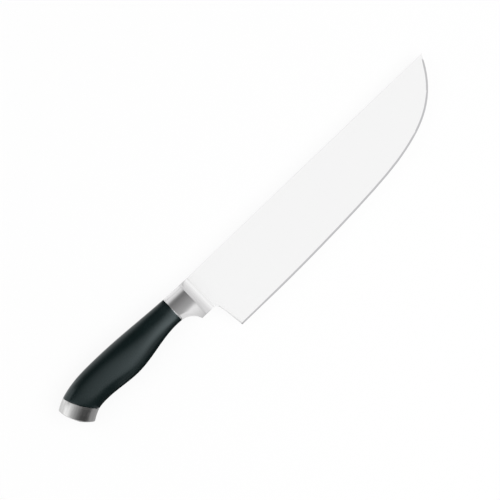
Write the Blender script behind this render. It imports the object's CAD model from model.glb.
"""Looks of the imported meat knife: ground steel, soft grip, brushed cap and the studio round it."""

import math
from typing import NamedTuple

import bmesh
import bpy
from mathutils import Matrix, Vector


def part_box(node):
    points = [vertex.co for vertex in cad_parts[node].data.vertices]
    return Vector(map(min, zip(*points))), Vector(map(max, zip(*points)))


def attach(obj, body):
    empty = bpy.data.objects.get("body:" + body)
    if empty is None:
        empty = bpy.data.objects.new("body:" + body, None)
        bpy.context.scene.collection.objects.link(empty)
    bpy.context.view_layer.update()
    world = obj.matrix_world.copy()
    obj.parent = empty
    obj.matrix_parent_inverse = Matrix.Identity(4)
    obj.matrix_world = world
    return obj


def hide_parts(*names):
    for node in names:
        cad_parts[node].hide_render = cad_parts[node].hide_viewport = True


bl_info = {
    "name": "Meat knife looks",
    "version": (1, 0, 0),
    "blender": (4, 5, 0),
    "location": "3D View > Sidebar > Knife",
    "description": "Dresses the packed knife in steel and soft rubber and sets up its studio",
    "category": "Object",
}

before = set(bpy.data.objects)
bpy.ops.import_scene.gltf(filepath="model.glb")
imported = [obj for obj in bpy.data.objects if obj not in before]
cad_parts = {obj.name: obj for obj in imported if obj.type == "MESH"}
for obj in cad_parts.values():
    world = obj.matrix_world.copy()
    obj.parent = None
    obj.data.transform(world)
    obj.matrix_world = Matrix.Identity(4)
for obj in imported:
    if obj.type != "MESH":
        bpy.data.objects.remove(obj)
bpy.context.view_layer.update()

BODY = "root"
MERGE_DISTANCE = 2e-6
WHITE = (1.0, 1.0, 1.0, 1.0)

# Places on the knife that its materials follow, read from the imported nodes
BLADE_LOW, BLADE_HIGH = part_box("blade")
GRIP_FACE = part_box("grip")[1].x
BLADE_LEVEL = 0.5 * (BLADE_LOW.z + BLADE_HIGH.z)
SPINE_LINE = BLADE_HIGH.y - 0.0005

# Where the bolster's polish turns into the blade's grinding, along X
POLISH_END = GRIP_FACE + 0.0181
GRINDING_START = GRIP_FACE + 0.0236

# The fillet in front of the bolster, as (X, level) stops: duller at its root, with a bright and a
# faint dark grinding line at its end
FILLET_LEVELS = (
    (GRIP_FACE + 0.0151, 1.00),
    (GRIP_FACE + 0.0156, 0.90),
    (GRIP_FACE + 0.0190, 0.91),
    (GRIP_FACE + 0.0217, 1.00),
    (GRIP_FACE + 0.0224, 1.02),
    (GRIP_FACE + 0.0235, 0.91),
    (GRIP_FACE + 0.0246, 1.00),
)

# The heel's ground chamfer: how much darker it is, fading in from HEEL_TOP down to HEEL_FULL. Its
# stops run over X plus a share of Y, a sum that stays the same along the leaning heel
HEEL_TOP = SPINE_LINE - 0.0300
HEEL_FULL = HEEL_TOP - 0.0015
HEEL_SLOPE = 0.175
HEEL_DARKENING = (
    (GRIP_FACE + 0.0240, 0.00),
    (GRIP_FACE + 0.0251, 0.26),
    (GRIP_FACE + 0.0264, 0.00),
)

# Which of the forging's sharp edges get a small bevel, along X and by height
NECK_END = GRIP_FACE - 0.0002
TANG_START = GRIP_FACE + 0.0004
TANG_TOP = BLADE_HIGH.z - 0.0052
CREASES_END = GRIP_FACE + 0.0300

# The honed bevel lies in front of HONING_START, below the spine, and leans this much towards -Y
HONING_START = GRIP_FACE + 0.0290
HONING_TOP = SPINE_LINE - 0.004
HONED_LEAN = (0.1, 0.8)

# Turn of the grinding lines on the blade's sides
GRINDING_TURN = math.radians(4.0)

# Depths of the relief on the surfaces
GRINDING_DEPTH = 4e-6
SKIN_GRAIN_DEPTH = 12e-6
STREAK_DEPTH = 6e-6
MOULD_GRAIN_DEPTH = 10e-6
TURNING_DEPTH = 6e-6

# Sharpness from which an edge gets a bevel or a crease, and from which it is shaded sharp
FORGING_CREASE = math.radians(28.0)
FORGING_SHARP = math.radians(35.0)
RIM_CREASE = math.radians(40.0)

# The most by which two triangles may differ from a flat and square quad to be joined into one
QUAD_LIMIT = math.radians(40.0)


class ForgingLooks(bpy.types.PropertyGroup):
    steel: bpy.props.FloatVectorProperty(
        name="Blade steel",
        description="Colour of the ground blade",
        subtype="COLOR",
        size=3,
        min=0.0,
        max=1.0,
        default=(0.905, 0.905, 0.905),
    )
    bolster_steel: bpy.props.FloatVectorProperty(
        name="Bolster steel",
        description="Colour of the bolster and its guard",
        subtype="COLOR",
        size=3,
        min=0.0,
        max=1.0,
        default=(0.745, 0.74, 0.745),
    )
    honed_steel: bpy.props.FloatVectorProperty(
        name="Honed steel",
        description="Colour of the sharpened bevel along the edge",
        subtype="COLOR",
        size=3,
        min=0.0,
        max=1.0,
        default=(0.54, 0.54, 0.55),
    )
    roughness: bpy.props.FloatProperty(
        name="Blade roughness",
        description="How softly the ground blade reflects",
        subtype="FACTOR",
        min=0.0,
        max=1.0,
        default=0.22,
    )
    polish: bpy.props.FloatProperty(
        name="Bolster roughness",
        description="How softly the bolster reflects",
        subtype="FACTOR",
        min=0.0,
        max=1.0,
        default=0.13,
    )
    crease_width: bpy.props.FloatProperty(
        name="Crease width",
        description="Width of the small bevel on the bolster's and the heel's crisp edges",
        unit="LENGTH",
        min=0.0,
        default=0.00018,
    )


class GripLooks(bpy.types.PropertyGroup):
    rubber: bpy.props.FloatVectorProperty(
        name="Rubber",
        description="Colour of the soft-touch skin",
        subtype="COLOR",
        size=3,
        min=0.0,
        max=1.0,
        default=(0.0036, 0.0089, 0.0091),
    )
    roughness: bpy.props.FloatProperty(
        name="Rubber roughness",
        description="How softly the skin reflects",
        subtype="FACTOR",
        min=0.0,
        max=1.0,
        default=0.25,
    )
    rim_width: bpy.props.FloatProperty(
        name="Rim width",
        description="Rounding of the skin's two ends",
        unit="LENGTH",
        min=0.0,
        default=0.0003,
    )


class CapLooks(bpy.types.PropertyGroup):
    steel: bpy.props.FloatVectorProperty(
        name="Cap steel",
        description="Colour of the brushed butt cap",
        subtype="COLOR",
        size=3,
        min=0.0,
        max=1.0,
        default=(0.74, 0.74, 0.735),
    )
    roughness: bpy.props.FloatProperty(
        name="Cap roughness",
        description="How softly the brushed cap reflects",
        subtype="FACTOR",
        min=0.0,
        max=1.0,
        default=0.22,
    )


class StudioLooks(bpy.types.PropertyGroup):
    floor: bpy.props.FloatVectorProperty(
        name="Floor",
        description="Colour of the studio floor",
        subtype="COLOR",
        size=3,
        min=0.0,
        max=1.0,
        default=(0.93, 0.93, 0.93),
    )
    shade: bpy.props.FloatProperty(
        name="Shadow",
        description="Share of the floor that takes the knife's shadow",
        subtype="FACTOR",
        min=0.0,
        max=1.0,
        default=0.11,
    )
    picture_width: bpy.props.FloatProperty(
        name="Picture width",
        description="Width of the picture at the blade",
        unit="LENGTH",
        min=0.01,
        default=0.3675,
    )
    roll: bpy.props.FloatProperty(
        name="Roll",
        description="Turn of the knife's back in the picture, up from level",
        subtype="ANGLE",
        default=math.radians(43.73),
    )
    camera_height: bpy.props.FloatProperty(
        name="Camera height",
        description="Height of the camera over the blade",
        unit="LENGTH",
        min=0.1,
        default=4.0,
    )


class Wire:
    """One output of a node, which takes part in sums as a number does."""

    def __init__(self, graph, output):
        self.graph = graph
        self.output = output

    def __add__(self, other):
        return self.graph.math("ADD", self, other)

    def __radd__(self, other):
        return self.graph.math("ADD", other, self)

    def __sub__(self, other):
        return self.graph.math("SUBTRACT", self, other)

    def __rsub__(self, other):
        return self.graph.math("SUBTRACT", other, self)

    def __mul__(self, other):
        return self.graph.math("MULTIPLY", self, other)

    def __rmul__(self, other):
        return self.graph.math("MULTIPLY", other, self)


class Graph:
    """The nodes of one material or of the world."""

    def __init__(self, tree):
        self.tree = tree
        tree.nodes.clear()

    def add(self, kind, settings, inputs, output=0):
        """Add a node: its settings first, then the values or wires of its sockets."""
        node = self.tree.nodes.new(kind)
        for name, value in settings.items():
            setattr(node, name, value)
        for key, value in inputs.items():
            if isinstance(value, Wire):
                self.tree.links.new(value.output, node.inputs[key])
            else:
                node.inputs[key].default_value = value
        return Wire(self, node.outputs[output]) if node.outputs else node

    def math(self, operation, first, second):
        return self.add("ShaderNodeMath", {"operation": operation}, {0: first, 1: second})

    def place(self):
        return self.add("ShaderNodeTexCoord", {}, {}, "Object")

    def axis(self, vector, name):
        return self.add("ShaderNodeSeparateXYZ", {}, {0: vector}, name)

    def stretch(self, vector, scale, turn=0.0):
        """The vector turned about the knife's thickness and scaled along each axis."""
        rotation = (0.0, 0.0, turn)
        turned = self.add("ShaderNodeMapping", {}, {"Vector": vector, "Rotation": rotation})
        return self.add("ShaderNodeMapping", {}, {"Vector": turned, "Scale": scale})

    def noise(self, vector, scale, detail=2.0):
        inputs = {"Vector": vector, "Scale": scale, "Detail": detail}
        return self.add("ShaderNodeTexNoise", {}, inputs)

    def step(self, value, low, high):
        """A smooth rise from 0 to 1 as the value goes from low to high."""
        settings = {"interpolation_type": "SMOOTHSTEP"}
        return self.add("ShaderNodeMapRange", settings, {0: value, 1: low, 2: high})

    def levels(self, value, stops):
        """A level that runs straight from each (place, level) stop to the next."""
        total = stops[0][1]
        for (start, low), (end, high) in zip(stops, stops[1:]):
            share = self.add("ShaderNodeMapRange", {}, {0: value, 1: start, 2: end})
            total = total + (high - low) * share
        return total

    def blend(self, share, first, second):
        """A colour between two colours."""
        colours = {6: opaque(first), 7: opaque(second)}
        return self.add("ShaderNodeMix", {"data_type": "RGBA"}, {0: share, **colours}, 2)

    def shade(self, colour, level):
        """A colour made darker or lighter by a level about 1."""
        grey = self.add("ShaderNodeCombineColor", {}, {0: level, 1: level, 2: level})
        settings = {"data_type": "RGBA", "blend_type": "MULTIPLY"}
        return self.add("ShaderNodeMix", settings, {0: 1.0, 6: opaque(colour), 7: grey}, 2)

    def bump(self, height, distance):
        inputs = {"Strength": 1.0, "Distance": distance, "Height": height}
        return self.add("ShaderNodeBump", {}, inputs)

    def finish(self, kind, inputs):
        """Add the shader and the material's output."""
        surface = self.add(kind, {}, inputs)
        self.add("ShaderNodeOutputMaterial", {}, {"Surface": surface})


def opaque(colour):
    """The colour with full alpha, or its wire as it is."""
    return colour if isinstance(colour, Wire) else (*colour[:3], 1.0)


def new_material(name):
    material = bpy.data.materials.new(name)
    material.use_nodes = True
    return material, Graph(material.node_tree)


def forged_steel(looks):
    """Ground blade, honed bevel and polished bolster of one forging."""
    material, graph = new_material("forged_steel")
    place = graph.place()
    along = graph.axis(place, "X")
    across = graph.axis(place, "Y")
    bladed = graph.step(along, POLISH_END, GRINDING_START)
    honed = graph.add("ShaderNodeAttribute", {"attribute_name": "honed"}, {}, "Fac")
    lines = graph.noise(graph.stretch(place, (5200.0, 60.0, 60.0), GRINDING_TURN), 1.0, 3.0)
    bands = graph.noise(graph.stretch(place, (420.0, 9.0, 9.0), GRINDING_TURN), 1.0, 3.0)
    brushed = graph.noise(graph.stretch(place, (90.0, 4200.0, 4200.0)), 1.0, 3.0)
    fillet = graph.levels(along, FILLET_LEVELS)
    below = 1.0 - graph.step(across, HEEL_FULL, HEEL_TOP)
    chamfer = 1.0 - below * graph.levels(along + HEEL_SLOPE * across, HEEL_DARKENING)
    level = fillet * chamfer * (0.985 + 0.018 * lines + 0.012 * bands)
    steel = graph.blend(bladed, looks.bolster_steel, looks.steel)
    steel = graph.blend(honed, steel, looks.honed_steel)
    ground = looks.roughness + 0.06 * (lines - 0.5) + 0.04 * (bands - 0.5)
    polished = looks.polish + 0.06 * (brushed - 0.5)
    roughness = polished + bladed * (ground - polished) + 0.10 * honed
    height = brushed + bladed * (lines - brushed)
    graph.finish(
        "ShaderNodeBsdfPrincipled",
        {
            "Base Color": graph.shade(steel, level),
            "Metallic": 1.0,
            "Roughness": roughness,
            "Normal": graph.bump(height, GRINDING_DEPTH),
        },
    )
    return material


def soft_rubber(looks):
    """Dark soft-touch skin with a fine moulded grain."""
    material, graph = new_material("soft_touch_rubber")
    place = graph.place()
    grain = graph.noise(place, 2600.0, 2.0)
    cloud = graph.noise(place, 60.0, 3.0)
    graph.finish(
        "ShaderNodeBsdfPrincipled",
        {
            "Base Color": graph.shade(looks.rubber, 0.85 + 0.30 * cloud),
            "Roughness": looks.roughness + 0.10 * (cloud - 0.5) + 0.10 * (grain - 0.5),
            "Specular IOR Level": 0.68,
            "Specular Tint": (0.84, 0.97, 1.0, 1.0),
            "Normal": graph.bump(grain, SKIN_GRAIN_DEPTH),
        },
    )
    return material


def brushed_cap_steel(looks):
    """Steel brushed along the cap, with fine streaks."""
    material, graph = new_material("brushed_cap_steel")
    place = graph.place()
    streaks = graph.noise(graph.stretch(place, (90.0, 1700.0, 1700.0), -CAP_TURN), 1.0, 3.0)
    bands = graph.noise(graph.stretch(place, (25.0, 480.0, 480.0), -CAP_TURN), 1.0, 2.0)
    graph.finish(
        "ShaderNodeBsdfPrincipled",
        {
            "Base Color": graph.shade(looks.steel, 0.80 + 0.24 * streaks + 0.16 * bands),
            "Metallic": 1.0,
            "Roughness": looks.roughness + 0.12 * (streaks - 0.5),
            "Normal": graph.bump(streaks, STREAK_DEPTH),
        },
    )
    return material


def moulded_plastic():
    """Dark rigid plastic of the core, with the flow marks of its moulding."""
    material, graph = new_material("moulded_core_plastic")
    place = graph.place()
    flow = graph.noise(graph.stretch(place, (25.0, 110.0, 110.0)), 1.0, 4.0)
    grain = graph.noise(place, 1800.0, 2.0)
    graph.finish(
        "ShaderNodeBsdfPrincipled",
        {
            "Base Color": graph.blend(flow, (0.045, 0.045, 0.050), (0.080, 0.080, 0.086)),
            "Roughness": 0.45 + 0.20 * flow,
            "Normal": graph.bump(grain, MOULD_GRAIN_DEPTH),
        },
    )
    return material


def plated_steel():
    """Zinc-grey plated steel of the nut and the washer."""
    material, graph = new_material("plated_fastener_steel")
    place = graph.place()
    cloud = graph.noise(place, 450.0, 4.0)
    turned = graph.noise(graph.stretch(place, (4000.0, 80.0, 80.0)), 1.0, 2.0)
    graph.finish(
        "ShaderNodeBsdfPrincipled",
        {
            "Base Color": graph.blend(cloud, (0.47, 0.48, 0.50), (0.62, 0.63, 0.65)),
            "Metallic": 1.0,
            "Roughness": 0.32 + 0.16 * cloud,
            "Normal": graph.bump(turned, TURNING_DEPTH),
        },
    )
    return material


def select_only(item):
    bpy.ops.object.select_all(action="DESELECT")
    bpy.context.view_layer.objects.active = item
    item.select_set(True)


def copy_of_node(node, name):
    """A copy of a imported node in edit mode, merged into one skin, mostly of quads."""
    item = bpy.data.objects.new(name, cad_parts[node].data.copy())
    bpy.context.scene.collection.objects.link(item)
    item.data.materials.clear()
    select_only(item)
    bpy.ops.object.mode_set(mode="EDIT")
    bpy.ops.mesh.select_all(action="SELECT")
    bpy.ops.mesh.customdata_custom_splitnormals_clear()
    bpy.ops.mesh.remove_doubles(threshold=MERGE_DISTANCE)
    bpy.ops.mesh.tris_convert_to_quads(
        face_threshold=QUAD_LIMIT,
        shape_threshold=QUAD_LIMIT,
        topology_influence=1.0,
    )
    return item


def select_sharp_edges(item, angle, wanted):
    """Select the sharp edges whose middle point passes a test."""
    bpy.ops.mesh.select_mode(type="EDGE")
    bpy.ops.mesh.select_all(action="DESELECT")
    bpy.ops.mesh.edges_select_sharp(sharpness=angle)
    bm = bmesh.from_edit_mesh(item.data)
    for edge in bm.edges:
        if edge.select and not wanted(0.5 * (edge.verts[0].co + edge.verts[1].co)):
            edge.select = False
    bm.select_flush_mode()
    bmesh.update_edit_mesh(item.data)


def add_modifier(item, kind, **settings):
    modifier = item.modifiers.new(kind.title(), kind)
    for name, value in settings.items():
        setattr(modifier, name, value)
    bpy.ops.object.modifier_apply(modifier=modifier.name)


def dress(item, material, slot, *nodes):
    """Give a finished piece its material and its place in the frame."""
    item.data.materials.append(material)
    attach(item, BODY)
    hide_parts(*nodes)


class KNIFE_OT_forging(bpy.types.Operator):
    """Finish the forged blade and bolster"""

    bl_idname = "knife.forging"
    bl_label = "Forged blade and bolster"

    def execute(self, context):
        looks = context.scene.knife_forging
        blade = copy_of_node("blade", "forged_blade")
        select_sharp_edges(blade, FORGING_CREASE, self.is_crease)
        bpy.ops.transform.edge_bevelweight(value=1.0)
        bpy.ops.object.mode_set(mode="OBJECT")
        width = looks.crease_width
        add_modifier(blade, "BEVEL", limit_method="WEIGHT", width=width, segments=2)
        self.mark_honed_bevel(blade)
        bpy.ops.object.shade_smooth_by_angle(angle=FORGING_SHARP)
        add_modifier(blade, "WEIGHTED_NORMAL", mode="FACE_AREA_WITH_ANGLE", keep_sharp=True)
        dress(blade, forged_steel(looks), "blade_steel", "blade")
        return {"FINISHED"}

    def is_crease(self, middle):
        """The bolster's and the heel's edges, not the cutting edge or the hidden tang."""
        beside_tang = middle.x < TANG_START and middle.z < TANG_TOP
        return NECK_END < middle.x <= CREASES_END and not beside_tang

    def mark_honed_bevel(self, blade):
        """Mark the faces of the sharpened bevel, which lean more than the ground sides."""
        values = [1.0 if self.is_honed(face) else 0.0 for face in blade.data.polygons]
        marks = blade.data.attributes.new("honed", "FLOAT", "FACE")
        marks.data.foreach_set("value", values)

    def is_honed(self, face):
        least, most = HONED_LEAN
        in_place = face.center.x > HONING_START and face.center.y < HONING_TOP
        return in_place and least < -face.normal.y < most


class KNIFE_OT_grip(bpy.types.Operator):
    """Finish the soft-touch skin of the handle"""

    bl_idname = "knife.grip"
    bl_label = "Soft grip"

    def execute(self, context):
        looks = context.scene.knife_grip
        grip = copy_of_node("grip", "soft_grip")
        select_sharp_edges(grip, RIM_CREASE, lambda middle: True)
        bpy.ops.transform.edge_bevelweight(value=1.0)
        bpy.ops.object.mode_set(mode="OBJECT")
        add_modifier(grip, "BEVEL", limit_method="WEIGHT", width=looks.rim_width, segments=2)
        add_modifier(grip, "SUBSURF", levels=2, render_levels=2)
        bpy.ops.object.shade_smooth()
        dress(grip, soft_rubber(looks), "soft_rubber", "grip")
        return {"FINISHED"}


class KNIFE_OT_cap(bpy.types.Operator):
    """Finish the brushed butt cap"""

    bl_idname = "knife.cap"
    bl_label = "Butt cap"

    def execute(self, context):
        looks = context.scene.knife_cap
        cap = copy_of_node("butt_cap", "steel_butt_cap")
        select_sharp_edges(cap, RIM_CREASE, lambda middle: True)
        bpy.ops.transform.edge_crease(value=1.0)
        bpy.ops.object.mode_set(mode="OBJECT")
        add_modifier(cap, "SUBSURF", levels=2, render_levels=2)
        bpy.ops.object.shade_smooth_by_angle(angle=RIM_CREASE)
        dress(cap, brushed_cap_steel(looks), "cap_steel", "butt_cap")
        return {"FINISHED"}


class KNIFE_OT_inner(bpy.types.Operator):
    """Finish the core, washer and nut inside the handle"""

    bl_idname = "knife.inner"
    bl_label = "Core, washer and nut"

    def execute(self, context):
        plated = plated_steel()
        for node, material in (
            ("grip_core", moulded_plastic()),
            ("tang_washer", plated),
            ("tang_nut", plated),
        ):
            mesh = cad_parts[node].data
            mesh.materials.clear()
            mesh.materials.append(material)
        return {"FINISHED"}


# Heights of the cards that hang over the knife, and of those that lie just over the floor
CANOPY = 0.065
LOW_CANOPY = 0.064
BOLSTER_CANOPY = 0.030
FLOOR_GAP = 0.0003
CAP_FLOOR_GAP = 0.0006

# Turn of the grip's strip, and of the cap's cards, which lie square to its leaning joint
STRIP_TURN = math.radians(6.0)
CAP_TURN = math.radians(29.3)
SIDEWAYS = math.radians(90.0)

# How far left of the middle the cards of the bolster and of the grip stand or end, where the neck
# meets the grip
NECK_REACH = 0.0747
GRIP_REACH = 0.0749
NECK_DIVIDER = 0.0750
GRIP_DIVIDER = 0.0752


def plain(level):
    """The same level everywhere."""
    return ((0.0, level),)


class Card(NamedTuple):
    """A glowing or dark card that only shows in reflections.

    Its corners are in a frame turned about Z. Its brightness is a product of (place, level) stops
    along that frame's X and across it, and narrowing draws the stops across together along X.
    """

    name: str
    turn: float
    low: tuple
    high: tuple
    along: tuple = plain(1.0)
    across: tuple = plain(1.0)
    narrowing: tuple = plain(1.0)


CARDS = (
    Card("blade_softbox", 0.0, (-0.0580, -0.100, CANOPY), (0.250, 0.100, CANOPY)),
    Card(
        "bolster_card",
        0.0,
        (-0.0755, -0.055, BOLSTER_CANOPY),
        (-0.0580, 0.090, BOLSTER_CANOPY),
        across=(
            (-0.0146, 0.71),
            (-0.0113, 0.79),
            (-0.0074, 0.89),
            (-0.0034, 1.00),
            (-0.0019, 1.04),
            (0.0000, 0.93),
            (0.0009, 0.79),
            (0.0022, 0.63),
            (0.0036, 0.53),
            (0.0065, 0.445),
            (0.0096, 0.40),
            (0.0117, 0.36),
            (0.0139, 0.306),
            (0.0161, 0.268),
            (0.0185, 0.222),
            (0.0210, 0.212),
            (0.0222, 0.245),
            (0.0268, 0.52),
            (0.0322, 0.75),
            (0.0405, 0.87),
            (0.0700, 1.00),
        ),
    ),
    Card(
        "bolster_divider",
        SIDEWAYS,
        (0.0045, NECK_DIVIDER, 0.0165),
        (0.090, NECK_DIVIDER, BOLSTER_CANOPY),
        ((0.0045, 0.60), (0.0090, 0.45), (0.0180, 0.26), (0.0210, 0.40), (0.0260, 0.90)),
    ),
    Card(
        "finger_divider",
        SIDEWAYS,
        (-0.100, NECK_DIVIDER, 0.0),
        (0.0045, NECK_DIVIDER, 0.040),
        ((-0.020, 0.35), (-0.014, 0.92), (0.0038, 0.92), (0.0045, 0.60)),
    ),
    Card(
        "guard_flag",
        0.0,
        (-NECK_REACH, -0.100, 0.0),
        (-0.0450, -0.100, LOW_CANOPY),
        across=plain(0.62),
    ),
    Card(
        "bolster_floor_card",
        0.0,
        (-NECK_REACH, 0.026, FLOOR_GAP),
        (-0.0600, 0.300, FLOOR_GAP),
        across=plain(1.05),
    ),
    Card(
        "grip_divider",
        SIDEWAYS,
        (-0.100, GRIP_DIVIDER, 0.0),
        (0.090, GRIP_DIVIDER, BOLSTER_CANOPY),
        (
            (0.0050, 0.08),
            (0.0070, 0.90),
            (0.0098, 2.10),
            (0.0127, 2.10),
            (0.0157, 0.90),
            (0.0180, 0.03),
        ),
    ),
    Card(
        "grip_strip",
        STRIP_TURN,
        (-0.2000, -0.110, CANOPY + 0.001),
        (-0.0660, 0.110, CANOPY + 0.001),
        (
            (-0.175, 0.62),
            (-0.156, 0.75),
            (-0.134, 0.95),
            (-0.112, 1.12),
            (-0.090, 1.52),
            (-0.080, 1.95),
            (-0.0725, 2.50),
        ),
        (
            (-0.060, 0.17),
            (-0.043, 0.38),
            (-0.031, 0.52),
            (-0.019, 0.71),
            (-0.007, 0.97),
            (-0.001, 1.03),
            (0.006, 0.95),
            (0.013, 0.78),
            (0.018, 0.60),
            (0.024, 0.36),
            (0.029, 0.18),
            (0.036, 0.02),
        ),
        (
            (-0.156, 0.42),
            (-0.134, 0.48),
            (-0.112, 0.68),
            (-0.090, 1.00),
            (-0.076, 1.20),
        ),
    ),
    Card(
        "grip_back_flag",
        0.0,
        (-0.1740, 0.060, 0.012),
        (-GRIP_REACH, 0.060, CANOPY),
        across=((0.012, 0.7), (0.030, 0.18), (0.045, 0.02)),
    ),
    Card(
        "grip_back_flag_end",
        0.0,
        (-GRIP_REACH, 0.060, BOLSTER_CANOPY),
        (-0.0680, 0.060, CANOPY),
        across=((0.030, 0.18), (0.045, 0.02)),
    ),
    Card(
        "grip_front_flag",
        0.0,
        (-0.2500, -0.100, 0.0),
        (-GRIP_REACH, -0.100, CANOPY),
        across=((0.010, 0.05), (0.030, 0.20), (0.060, 0.33)),
    ),
    Card(
        "grip_floor_flag",
        0.0,
        (-0.2000, -0.300, FLOOR_GAP),
        (-GRIP_REACH, 0.002, FLOOR_GAP),
        across=plain(0.02),
    ),
    Card(
        "grip_back_floor_flag",
        0.0,
        (-0.1650, 0.020, FLOOR_GAP),
        (-GRIP_REACH, 0.300, FLOOR_GAP),
        across=plain(0.75),
    ),
    Card(
        "cap_card",
        CAP_TURN,
        (-0.2300, -0.030, LOW_CANOPY),
        (-0.1430, 0.250, LOW_CANOPY),
        across=(
            (-0.015, 0.24),
            (0.005, 0.20),
            (0.035, 0.09),
            (0.055, 0.045),
            (0.084, 0.045),
            (0.090, 0.11),
            (0.093, 0.15),
            (0.097, 0.27),
            (0.102, 0.37),
            (0.109, 0.47),
            (0.117, 0.70),
            (0.126, 1.00),
            (0.140, 1.10),
        ),
    ),
    Card(
        "cap_floor_flag",
        CAP_TURN,
        (-0.2300, -0.200, CAP_FLOOR_GAP),
        (-0.1430, 0.082, CAP_FLOOR_GAP),
        across=plain(0.39),
    ),
    Card(
        "cap_back_floor_flag",
        CAP_TURN,
        (-0.2300, 0.103, CAP_FLOOR_GAP),
        (-0.1430, 0.300, CAP_FLOOR_GAP),
        across=plain(0.80),
    ),
    Card(
        "cap_fence",
        CAP_TURN,
        (-0.2300, 0.044, 0.0),
        (-0.1445, 0.044, 0.030),
        across=plain(0.32),
    ),
    Card(
        "cap_divider",
        CAP_TURN + SIDEWAYS,
        (0.045, 0.1433, 0.0),
        (0.079, 0.1433, 0.060),
        across=plain(0.05),
    ),
    Card(
        "tip_flag",
        SIDEWAYS,
        (-0.100, -0.250, 0.0),
        (0.100, -0.250, CANOPY),
        across=plain(0.97),
    ),
)


# Each lamp: its name, place, width in metres and power in watts
LAMPS = (
    ("key_lamp", (0.35, -0.55, 1.20), 1.2, 11.5),
    ("fill_lamp", (-0.60, 0.70, 1.10), 1.2, 5.0),
)

# Light that the sky gives to matt surfaces, and how much darker its top is in reflections
SKY_LIGHT = 0.56
CEILING_SHADE = 0.45
CEILING_RISE = (0.45, 0.90)

FLOOR_WIDTH = 8.0
FLOOR_LEVEL = -0.0001

# The camera's place beside the middle, and its sensor's width in millimetres
CAMERA_PLACE = (-0.0038, 0.0074)
SENSOR_WIDTH = 36.0


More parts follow.
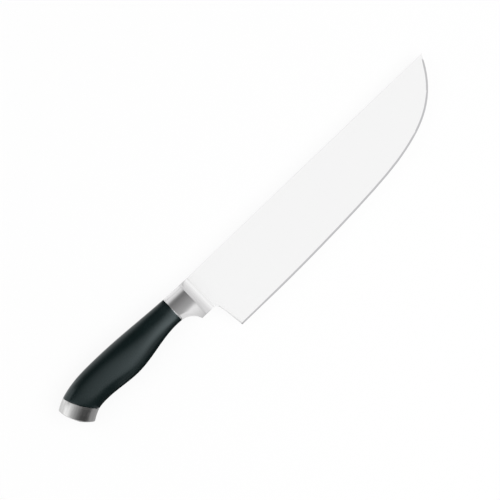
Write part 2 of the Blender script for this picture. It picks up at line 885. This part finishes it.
class KNIFE_OT_studio(bpy.types.Operator):
    """Set up the floor, the light and the camera"""

    bl_idname = "knife.studio"
    bl_label = "Studio"

    def execute(self, context):
        scene = context.scene
        looks = scene.knife_studio
        self.add_floor(looks)
        self.light_world(scene)
        self.add_lamps(scene)
        for card in CARDS:
            self.add_card(card)
        self.add_camera(scene, looks)
        scene.view_settings.view_transform = "Standard"
        return {"FINISHED"}

    def seen_directly(self, graph):
        """1 for rays from the camera, from a shiny surface or through glass."""
        rays = graph.add("ShaderNodeLightPath", {}, {}, "Is Camera Ray")
        glossy = graph.add("ShaderNodeLightPath", {}, {}, "Is Glossy Ray")
        through = graph.add("ShaderNodeLightPath", {}, {}, "Is Transmission Ray")
        return graph.math("MAXIMUM", graph.math("MAXIMUM", rays, glossy), through)

    def add_floor(self, looks):
        """A pale floor that reads white and takes a share of the knife's shadow."""
        bpy.ops.object.select_all(action="DESELECT")
        bpy.ops.mesh.primitive_plane_add(size=FLOOR_WIDTH, location=(0.0, 0.0, FLOOR_LEVEL))
        floor = bpy.context.object
        floor.name = "floor"
        material, graph = new_material("studio_floor")
        matte = graph.add("ShaderNodeBsdfDiffuse", {}, {"Color": opaque(looks.floor)})
        white = graph.add("ShaderNodeEmission", {}, {"Color": WHITE, "Strength": 1.0})
        lit = self.seen_directly(graph) * (1.0 - looks.shade)
        graph.finish("ShaderNodeMixShader", {0: lit, 1: matte, 2: white})
        floor.data.materials.append(material)

    def light_world(self, scene):
        """A sky that is white to the camera and darker at its top in reflections."""
        scene.world = bpy.data.worlds.new("studio")
        scene.world.use_nodes = True
        graph = Graph(scene.world.node_tree)
        direct = self.seen_directly(graph)
        camera = graph.add("ShaderNodeLightPath", {}, {}, "Is Camera Ray")
        height = graph.axis(graph.add("ShaderNodeTexCoord", {}, {}, "Generated"), "Z")
        ceiling = 1.0 - CEILING_SHADE * graph.step(height, *CEILING_RISE)
        reflected = graph.math("MAXIMUM", ceiling, camera)
        strength = SKY_LIGHT + direct * (reflected - SKY_LIGHT)
        background = graph.add("ShaderNodeBackground", {}, {"Strength": strength})
        graph.add("ShaderNodeOutputWorld", {}, {"Surface": background})

    def add_lamps(self, scene):
        for name, place, size, power in LAMPS:
            lamp = bpy.data.lights.new(name, "AREA")
            lamp.size = size
            lamp.energy = power
            item = bpy.data.objects.new(name, lamp)
            item.location = place
            item.rotation_euler = (-Vector(place)).to_track_quat("-Z", "Y").to_euler()
            item.visible_glossy = False
            scene.collection.objects.link(item)

    def add_card(self, plan):
        """A glowing or dark card that the camera, the floor and matt surfaces don't see."""
        low, high = Vector(plan.low), Vector(plan.high)
        size = high - low
        upright = size.z > 0.0
        bpy.ops.object.select_all(action="DESELECT")
        bpy.ops.mesh.primitive_plane_add(size=1.0)
        card = bpy.context.object
        card.name = plan.name
        card.location = Matrix.Rotation(plan.turn, 3, "Z") @ (0.5 * (low + high))
        card.rotation_euler = (math.radians(90.0) if upright else 0.0, 0.0, plan.turn)
        card.scale = (size.x, size.z if upright else size.y, 1.0)
        bpy.ops.object.transform_apply(location=True, rotation=True, scale=True)
        card.visible_camera = False
        card.visible_diffuse = False
        card.visible_shadow = False
        card.visible_transmission = False
        material, graph = new_material(plan.name)
        place = graph.stretch(graph.place(), (1.0, 1.0, 1.0), -plan.turn)
        reach = graph.axis(place, "X")
        width = graph.axis(place, "Z" if upright else "Y") * graph.levels(reach, plan.narrowing)
        level = graph.levels(reach, plan.along) * graph.levels(width, plan.across)
        graph.finish("ShaderNodeEmission", {"Color": graph.shade(WHITE, level)})
        card.data.materials.append(material)

    def add_camera(self, scene, looks):
        """A camera that looks straight down on the knife."""
        camera = bpy.data.cameras.new("camera")
        camera.sensor_width = SENSOR_WIDTH
        camera.lens = SENSOR_WIDTH * looks.camera_height / looks.picture_width
        item = bpy.data.objects.new("camera", camera)
        item.location = (*CAMERA_PLACE, BLADE_LEVEL + looks.camera_height)
        item.rotation_euler = (0.0, 0.0, -looks.roll)
        scene.collection.objects.link(item)
        scene.camera = item


class KNIFE_PT_looks(bpy.types.Panel):
    """Sizes, colours and steps of the knife's looks"""

    bl_idname = "KNIFE_PT_looks"
    bl_label = "Knife"
    bl_space_type = "VIEW_3D"
    bl_region_type = "UI"
    bl_category = "Knife"

    def draw(self, context):
        for step, group in (
            ("knife.forging", "knife_forging"),
            ("knife.grip", "knife_grip"),
            ("knife.cap", "knife_cap"),
            ("knife.inner", None),
            ("knife.studio", "knife_studio"),
        ):
            box = self.layout.box()
            box.operator(step)
            if group:
                looks = getattr(context.scene, group)
                for name in looks.__annotations__:
                    box.prop(looks, name)


CLASSES = (
    ForgingLooks,
    GripLooks,
    CapLooks,
    StudioLooks,
    KNIFE_OT_forging,
    KNIFE_OT_grip,
    KNIFE_OT_cap,
    KNIFE_OT_inner,
    KNIFE_OT_studio,
    KNIFE_PT_looks,
)
GROUPS = {
    "knife_forging": ForgingLooks,
    "knife_grip": GripLooks,
    "knife_cap": CapLooks,
    "knife_studio": StudioLooks,
}


def register():
    for item in CLASSES:
        bpy.utils.register_class(item)
    for name, group in GROUPS.items():
        setattr(bpy.types.Scene, name, bpy.props.PointerProperty(type=group))


def unregister():
    for name in GROUPS:
        delattr(bpy.types.Scene, name)
    for item in reversed(CLASSES):
        bpy.utils.unregister_class(item)


def main():
    """Dress the knife, set up the studio and note the sizes before and after."""
    register()
    bpy.ops.knife.forging()
    bpy.ops.knife.grip()
    bpy.ops.knife.cap()
    bpy.ops.knife.inner()
    bpy.ops.knife.studio()


if __name__ == "__main__":
    main()
